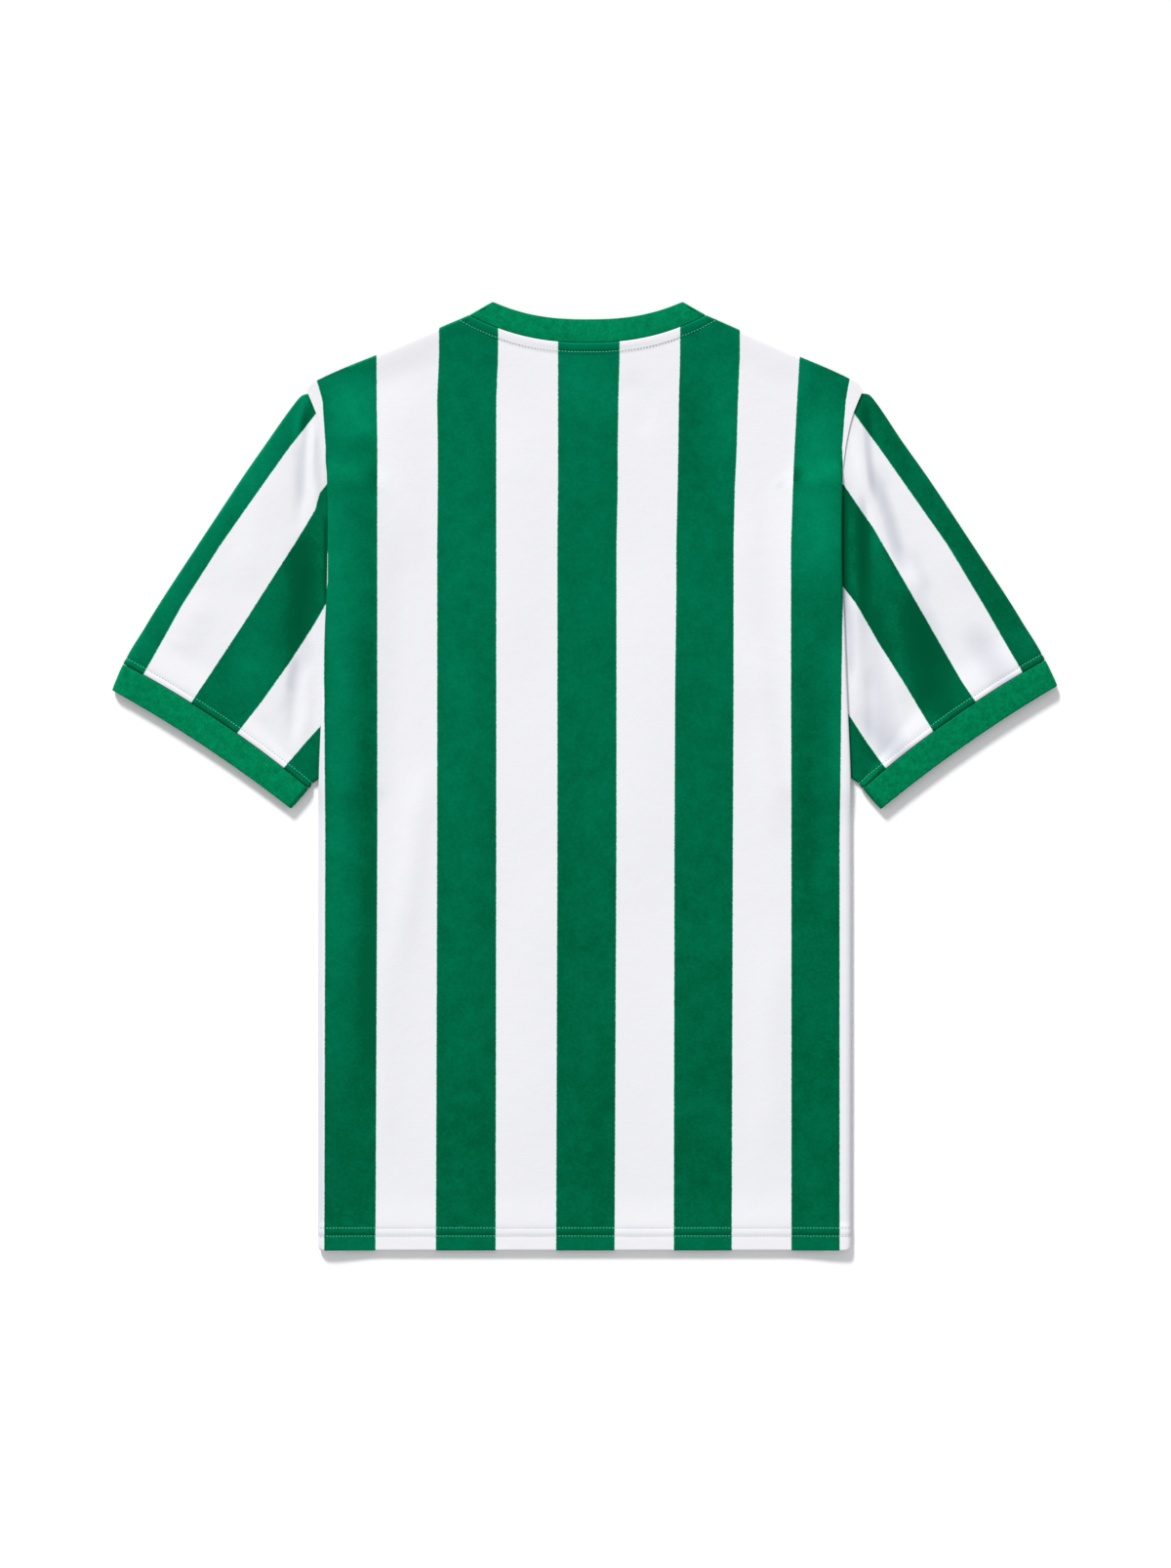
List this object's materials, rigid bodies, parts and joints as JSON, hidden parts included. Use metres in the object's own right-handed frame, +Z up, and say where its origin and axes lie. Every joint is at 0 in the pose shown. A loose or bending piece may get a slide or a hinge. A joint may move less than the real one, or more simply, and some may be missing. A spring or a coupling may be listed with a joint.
{
  "type": "football jersey",
  "caption": "Short-sleeved striped football jersey with a ribbed collar and ribbed cuffs, laid flat with its back up.",
  "frame": {"origin": "on the surface it lies on, under the middle of the jersey's outline", "axes": "+X across the jersey to the picture's right, +Y from the hem to the collar, +Z up from the surface"},
  "size_m": [0.755, 0.7578, 0.0078],
  "materials": {
    "body_cloth": "satin polyester knit in green and white stripes",
    "sleeve_cloth": "satin polyester knit in green and white stripes",
    "cuff_rib": "matte ribbed knit, green",
    "collar_rib": "matte ribbed knit, green",
    "thread": "pale green sewing thread"
  },
  "bodies": {
    "root": {"back_panel": "body_cloth", "front_panel": "body_cloth", "sleeve_left": "sleeve_cloth", "sleeve_right": "sleeve_cloth", "cuff_left": "cuff_rib", "cuff_right": "cuff_rib", "collar": "collar_rib"}
  },
  "joints": []
}
